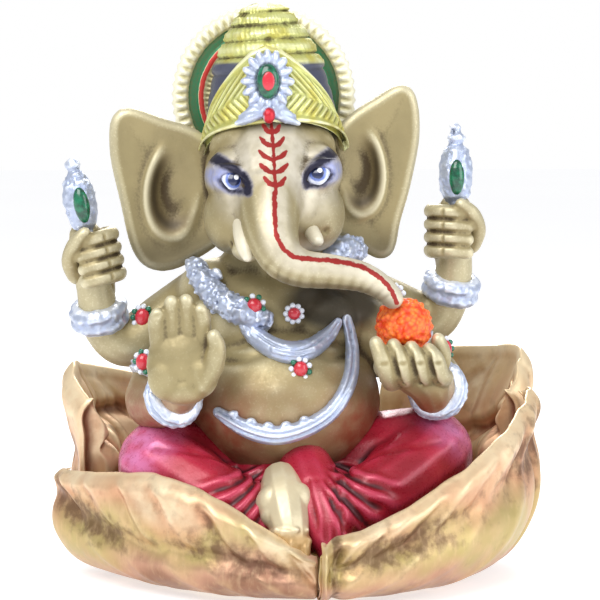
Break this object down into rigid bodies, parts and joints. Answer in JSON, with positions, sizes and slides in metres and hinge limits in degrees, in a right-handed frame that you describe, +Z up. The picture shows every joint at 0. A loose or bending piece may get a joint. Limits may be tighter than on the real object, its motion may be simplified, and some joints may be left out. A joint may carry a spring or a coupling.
{
  "type": "ganesha idol",
  "caption": "Seated four-armed elephant-headed devotional figure in a cup of folded leaves, with crown, halo, held attributes and a felt foot.",
  "frame": {"origin": "on the table, at the middle of the felt foot", "axes": "+Z up, -Y towards the viewer whom the figure faces, +X towards the figure's left hand side"},
  "size_m": [0.1095, 0.0908, 0.125],
  "materials": {
    "felt": "pressed dark felt",
    "leaf_gold": "satin copper-gold paint on cast resin, brown wash in the creases",
    "antique_gold": "khaki antique gold paint on cast resin, dark wash rubbed into the creases",
    "crimson_cloth": "crimson satin lacquer on cast resin, pink pearl on the folds",
    "silver_trim": "silver leaf paint with a blue-grey wash",
    "crown_gold": "bright yellow-green gold paint with olive hatching",
    "ruby_stone": "glossy red resin stone",
    "emerald_enamel": "glossy green enamel",
    "ivory": "satin ivory paint",
    "eye_enamel": "gloss white enamel with a blue iris and dark lining",
    "laddu_orange": "grainy orange lacquer"
  },
  "bodies": {
    "root": {"felt_pad": "felt", "base_cup": "leaf_gold", "leaf_front_left": "leaf_gold", "leaf_front_right": "leaf_gold", "leaf_back_left": "leaf_gold", "leaf_back_right": "leaf_gold", "leaf_back": "leaf_gold", "dhoti_right_leg": "crimson_cloth", "dhoti_left_leg": "crimson_cloth", "dhoti_pleats": "crimson_cloth", "foot": "antique_gold", "torso": "antique_gold", "head": "antique_gold", "trunk": "antique_gold", "right_ear": "antique_gold", "left_ear": "antique_gold", "right_tusk": "ivory", "left_tusk_stub": "ivory", "right_eye": "eye_enamel", "left_eye": "eye_enamel", "crown_dome": "crown_gold", "tiara": "crown_gold", "crown_brooch": "silver_trim", "brooch_drop": "emerald_enamel", "halo": "crown_gold", "right_rear_arm": "antique_gold", "left_rear_arm": "antique_gold", "right_front_arm": "antique_gold", "left_front_arm": "antique_gold", "right_rear_hand": "antique_gold", "left_rear_hand": "antique_gold", "right_front_hand": "antique_gold", "left_front_hand": "antique_gold", "right_rear_bracelet": "silver_trim", "left_rear_bracelet": "silver_trim", "right_front_bracelet": "silver_trim", "left_front_bracelet": "silver_trim", "right_armlet": "silver_trim", "left_armlet": "silver_trim", "goad": "silver_trim", "goad_enamel": "emerald_enamel", "lotus_bud": "silver_trim", "bud_enamel": "emerald_enamel", "laddu": "laddu_orange", "collar": "silver_trim", "garland": "silver_trim", "pendant": "ruby_stone", "sacred_thread": "silver_trim", "necklace_stones": "ruby_stone", "armlet_stones": "ruby_stone"}
  },
  "joints": []
}
